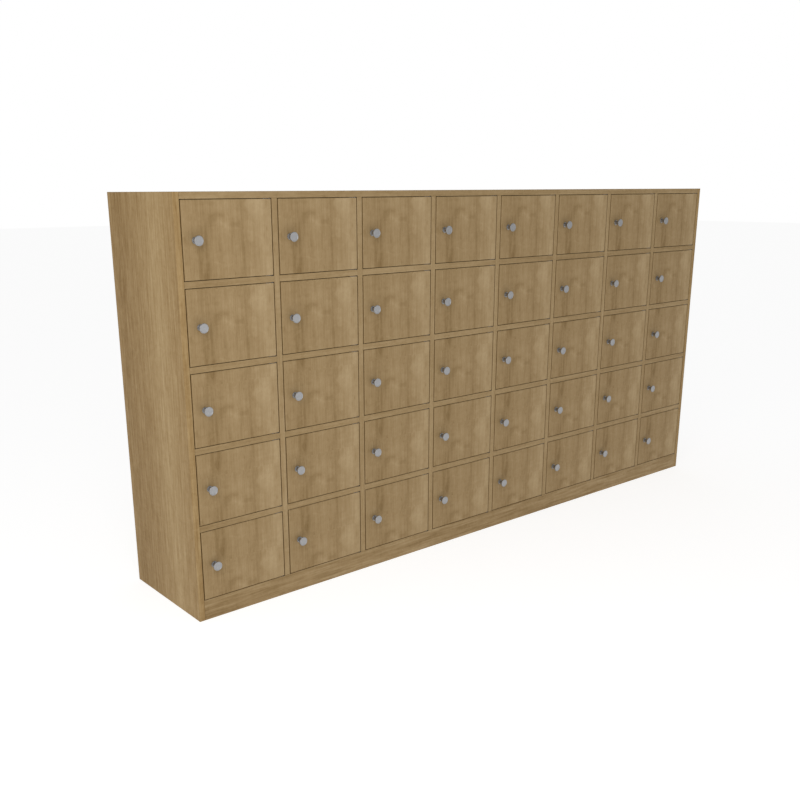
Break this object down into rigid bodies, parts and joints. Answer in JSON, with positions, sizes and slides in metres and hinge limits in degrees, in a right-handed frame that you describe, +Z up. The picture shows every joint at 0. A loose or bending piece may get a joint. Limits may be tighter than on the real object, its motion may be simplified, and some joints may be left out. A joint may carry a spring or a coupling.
{
  "type": "coin operated locker",
  "caption": "Free-standing bank of small coin-return lockers in oak-faced board, with inset doors that swing on pivot pins and turn-knob cam locks.",
  "frame": {"origin": "on the floor, under the middle of the overall box, knobs included", "axes": "+X to the right along the front, +Y from the doors to the back, +Z up"},
  "size_m": [2.4, 0.423, 1.2],
  "materials": {
    "oak_board": "satin oak-faced board with a pale grain",
    "knob_metal": "satin silver-grey",
    "lock_metal": "satin grey pressed sheet",
    "black_plastic": "matt black"
  },
  "bodies": {
    "carcass": {"left_side_panel": "oak_board", "right_side_panel": "oak_board", "top_panel": "oak_board", "bottom_panel": "oak_board", "plinth_board": "oak_board", "back_panel": "oak_board", "divider_1": "oak_board", "divider_2": "oak_board", "divider_3": "oak_board", "divider_4": "oak_board", "divider_5": "oak_board", "divider_6": "oak_board", "divider_7": "oak_board", "shelf_1": "oak_board", "shelf_2": "oak_board", "shelf_3": "oak_board", "shelf_4": "oak_board"},
    "door_r1_c1": {"door_r1_c1": "oak_board", "lock_case": "lock_metal"},
    "door_r1_c2": {"door_r1_c2": "oak_board"},
    "door_r1_c3": {"door_r1_c3": "oak_board"},
    "door_r1_c4": {"door_r1_c4": "oak_board"},
    "door_r1_c5": {"door_r1_c5": "oak_board"},
    "door_r1_c6": {"door_r1_c6": "oak_board"},
    "door_r1_c7": {"door_r1_c7": "oak_board"},
    "door_r1_c8": {"door_r1_c8": "oak_board"},
    "door_r2_c1": {"door_r2_c1": "oak_board"},
    "door_r2_c2": {"door_r2_c2": "oak_board"},
    "door_r2_c3": {"door_r2_c3": "oak_board"},
    "door_r2_c4": {"door_r2_c4": "oak_board"},
    "door_r2_c5": {"door_r2_c5": "oak_board"},
    "door_r2_c6": {"door_r2_c6": "oak_board"},
    "door_r2_c7": {"door_r2_c7": "oak_board"},
    "door_r2_c8": {"door_r2_c8": "oak_board"},
    "door_r3_c1": {"door_r3_c1": "oak_board"},
    "door_r3_c2": {"door_r3_c2": "oak_board"},
    "door_r3_c3": {"door_r3_c3": "oak_board"},
    "door_r3_c4": {"door_r3_c4": "oak_board"},
    "door_r3_c5": {"door_r3_c5": "oak_board"},
    "door_r3_c6": {"door_r3_c6": "oak_board"},
    "door_r3_c7": {"door_r3_c7": "oak_board"},
    "door_r3_c8": {"door_r3_c8": "oak_board"},
    "door_r4_c1": {"door_r4_c1": "oak_board"},
    "door_r4_c2": {"door_r4_c2": "oak_board"},
    "door_r4_c3": {"door_r4_c3": "oak_board"},
    "door_r4_c4": {"door_r4_c4": "oak_board"},
    "door_r4_c5": {"door_r4_c5": "oak_board"},
    "door_r4_c6": {"door_r4_c6": "oak_board"},
    "door_r4_c7": {"door_r4_c7": "oak_board"},
    "door_r4_c8": {"door_r4_c8": "oak_board"},
    "door_r5_c1": {"door_r5_c1": "oak_board"},
    "door_r5_c2": {"door_r5_c2": "oak_board"},
    "door_r5_c3": {"door_r5_c3": "oak_board"},
    "door_r5_c4": {"door_r5_c4": "oak_board"},
    "door_r5_c5": {"door_r5_c5": "oak_board"},
    "door_r5_c6": {"door_r5_c6": "oak_board"},
    "door_r5_c7": {"door_r5_c7": "oak_board"},
    "door_r5_c8": {"door_r5_c8": "oak_board"},
    "lock_knob": {"lock_knob": "knob_metal"},
    "coin_carriage": {"coin_carriage": "black_plastic"}
  },
  "joints": [
    {"name": "lock_knob_turn", "type": "hinge", "parent": "door_r1_c1", "child": "lock_knob", "pos_m": [-1.1435, -0.1885, 1.0772], "axis": [0, 1, 0], "range_deg": [0, 90]},
    {"name": "coin_carriage_slide", "type": "slide", "parent": "door_r1_c1", "child": "coin_carriage", "axis": [0, 0, 1], "range_m": [0, 0.01]},
    {"name": "door_r1_c1_swing", "type": "hinge", "parent": "carcass", "child": "door_r1_c1", "pos_m": [-0.90825, -0.1845, 1.0772], "axis": [0, 0, 1], "range_deg": [0, 105]},
    {"name": "door_r1_c2_swing", "type": "hinge", "parent": "carcass", "child": "door_r1_c2", "pos_m": [-0.6105, -0.1845, 1.0772], "axis": [0, 0, 1], "range_deg": [0, 105]},
    {"name": "door_r1_c3_swing", "type": "hinge", "parent": "carcass", "child": "door_r1_c3", "pos_m": [-0.31275, -0.1845, 1.0772], "axis": [0, 0, 1], "range_deg": [0, 105]},
    {"name": "door_r1_c4_swing", "type": "hinge", "parent": "carcass", "child": "door_r1_c4", "pos_m": [-0.015, -0.1845, 1.0772], "axis": [0, 0, 1], "range_deg": [0, 105]},
    {"name": "door_r1_c5_swing", "type": "hinge", "parent": "carcass", "child": "door_r1_c5", "pos_m": [0.28275, -0.1845, 1.0772], "axis": [0, 0, 1], "range_deg": [0, 105]},
    {"name": "door_r1_c6_swing", "type": "hinge", "parent": "carcass", "child": "door_r1_c6", "pos_m": [0.5805, -0.1845, 1.0772], "axis": [0, 0, 1], "range_deg": [0, 105]},
    {"name": "door_r1_c7_swing", "type": "hinge", "parent": "carcass", "child": "door_r1_c7", "pos_m": [0.87825, -0.1845, 1.0772], "axis": [0, 0, 1], "range_deg": [0, 105]},
    {"name": "door_r1_c8_swing", "type": "hinge", "parent": "carcass", "child": "door_r1_c8", "pos_m": [1.176, -0.1845, 1.0772], "axis": [0, 0, 1], "range_deg": [0, 105]},
    {"name": "door_r2_c1_swing", "type": "hinge", "parent": "carcass", "child": "door_r2_c1", "pos_m": [-0.90825, -0.1845, 0.8496], "axis": [0, 0, 1], "range_deg": [0, 105]},
    {"name": "door_r2_c2_swing", "type": "hinge", "parent": "carcass", "child": "door_r2_c2", "pos_m": [-0.6105, -0.1845, 0.8496], "axis": [0, 0, 1], "range_deg": [0, 105]},
    {"name": "door_r2_c3_swing", "type": "hinge", "parent": "carcass", "child": "door_r2_c3", "pos_m": [-0.31275, -0.1845, 0.8496], "axis": [0, 0, 1], "range_deg": [0, 105]},
    {"name": "door_r2_c4_swing", "type": "hinge", "parent": "carcass", "child": "door_r2_c4", "pos_m": [-0.015, -0.1845, 0.8496], "axis": [0, 0, 1], "range_deg": [0, 105]},
    {"name": "door_r2_c5_swing", "type": "hinge", "parent": "carcass", "child": "door_r2_c5", "pos_m": [0.28275, -0.1845, 0.8496], "axis": [0, 0, 1], "range_deg": [0, 105]},
    {"name": "door_r2_c6_swing", "type": "hinge", "parent": "carcass", "child": "door_r2_c6", "pos_m": [0.5805, -0.1845, 0.8496], "axis": [0, 0, 1], "range_deg": [0, 105]},
    {"name": "door_r2_c7_swing", "type": "hinge", "parent": "carcass", "child": "door_r2_c7", "pos_m": [0.87825, -0.1845, 0.8496], "axis": [0, 0, 1], "range_deg": [0, 105]},
    {"name": "door_r2_c8_swing", "type": "hinge", "parent": "carcass", "child": "door_r2_c8", "pos_m": [1.176, -0.1845, 0.8496], "axis": [0, 0, 1], "range_deg": [0, 105]},
    {"name": "door_r3_c1_swing", "type": "hinge", "parent": "carcass", "child": "door_r3_c1", "pos_m": [-0.90825, -0.1845, 0.622], "axis": [0, 0, 1], "range_deg": [0, 105]},
    {"name": "door_r3_c2_swing", "type": "hinge", "parent": "carcass", "child": "door_r3_c2", "pos_m": [-0.6105, -0.1845, 0.622], "axis": [0, 0, 1], "range_deg": [0, 105]},
    {"name": "door_r3_c3_swing", "type": "hinge", "parent": "carcass", "child": "door_r3_c3", "pos_m": [-0.31275, -0.1845, 0.622], "axis": [0, 0, 1], "range_deg": [0, 105]},
    {"name": "door_r3_c4_swing", "type": "hinge", "parent": "carcass", "child": "door_r3_c4", "pos_m": [-0.015, -0.1845, 0.622], "axis": [0, 0, 1], "range_deg": [0, 105]},
    {"name": "door_r3_c5_swing", "type": "hinge", "parent": "carcass", "child": "door_r3_c5", "pos_m": [0.28275, -0.1845, 0.622], "axis": [0, 0, 1], "range_deg": [0, 105]},
    {"name": "door_r3_c6_swing", "type": "hinge", "parent": "carcass", "child": "door_r3_c6", "pos_m": [0.5805, -0.1845, 0.622], "axis": [0, 0, 1], "range_deg": [0, 105]},
    {"name": "door_r3_c7_swing", "type": "hinge", "parent": "carcass", "child": "door_r3_c7", "pos_m": [0.87825, -0.1845, 0.622], "axis": [0, 0, 1], "range_deg": [0, 105]},
    {"name": "door_r3_c8_swing", "type": "hinge", "parent": "carcass", "child": "door_r3_c8", "pos_m": [1.176, -0.1845, 0.622], "axis": [0, 0, 1], "range_deg": [0, 105]},
    {"name": "door_r4_c1_swing", "type": "hinge", "parent": "carcass", "child": "door_r4_c1", "pos_m": [-0.90825, -0.1845, 0.3944], "axis": [0, 0, 1], "range_deg": [0, 105]},
    {"name": "door_r4_c2_swing", "type": "hinge", "parent": "carcass", "child": "door_r4_c2", "pos_m": [-0.6105, -0.1845, 0.3944], "axis": [0, 0, 1], "range_deg": [0, 105]},
    {"name": "door_r4_c3_swing", "type": "hinge", "parent": "carcass", "child": "door_r4_c3", "pos_m": [-0.31275, -0.1845, 0.3944], "axis": [0, 0, 1], "range_deg": [0, 105]},
    {"name": "door_r4_c4_swing", "type": "hinge", "parent": "carcass", "child": "door_r4_c4", "pos_m": [-0.015, -0.1845, 0.3944], "axis": [0, 0, 1], "range_deg": [0, 105]},
    {"name": "door_r4_c5_swing", "type": "hinge", "parent": "carcass", "child": "door_r4_c5", "pos_m": [0.28275, -0.1845, 0.3944], "axis": [0, 0, 1], "range_deg": [0, 105]},
    {"name": "door_r4_c6_swing", "type": "hinge", "parent": "carcass", "child": "door_r4_c6", "pos_m": [0.5805, -0.1845, 0.3944], "axis": [0, 0, 1], "range_deg": [0, 105]},
    {"name": "door_r4_c7_swing", "type": "hinge", "parent": "carcass", "child": "door_r4_c7", "pos_m": [0.87825, -0.1845, 0.3944], "axis": [0, 0, 1], "range_deg": [0, 105]},
    {"name": "door_r4_c8_swing", "type": "hinge", "parent": "carcass", "child": "door_r4_c8", "pos_m": [1.176, -0.1845, 0.3944], "axis": [0, 0, 1], "range_deg": [0, 105]},
    {"name": "door_r5_c1_swing", "type": "hinge", "parent": "carcass", "child": "door_r5_c1", "pos_m": [-0.90825, -0.1845, 0.1668], "axis": [0, 0, 1], "range_deg": [0, 105]},
    {"name": "door_r5_c2_swing", "type": "hinge", "parent": "carcass", "child": "door_r5_c2", "pos_m": [-0.6105, -0.1845, 0.1668], "axis": [0, 0, 1], "range_deg": [0, 105]},
    {"name": "door_r5_c3_swing", "type": "hinge", "parent": "carcass", "child": "door_r5_c3", "pos_m": [-0.31275, -0.1845, 0.1668], "axis": [0, 0, 1], "range_deg": [0, 105]},
    {"name": "door_r5_c4_swing", "type": "hinge", "parent": "carcass", "child": "door_r5_c4", "pos_m": [-0.015, -0.1845, 0.1668], "axis": [0, 0, 1], "range_deg": [0, 105]},
    {"name": "door_r5_c5_swing", "type": "hinge", "parent": "carcass", "child": "door_r5_c5", "pos_m": [0.28275, -0.1845, 0.1668], "axis": [0, 0, 1], "range_deg": [0, 105]},
    {"name": "door_r5_c6_swing", "type": "hinge", "parent": "carcass", "child": "door_r5_c6", "pos_m": [0.5805, -0.1845, 0.1668], "axis": [0, 0, 1], "range_deg": [0, 105]},
    {"name": "door_r5_c7_swing", "type": "hinge", "parent": "carcass", "child": "door_r5_c7", "pos_m": [0.87825, -0.1845, 0.1668], "axis": [0, 0, 1], "range_deg": [0, 105]},
    {"name": "door_r5_c8_swing", "type": "hinge", "parent": "carcass", "child": "door_r5_c8", "pos_m": [1.176, -0.1845, 0.1668], "axis": [0, 0, 1], "range_deg": [0, 105]}
  ],
  "couplings": [
    {"joint": "coin_carriage_slide", "follows": "lock_knob_turn", "m_per_rad": 0.006366}
  ]
}
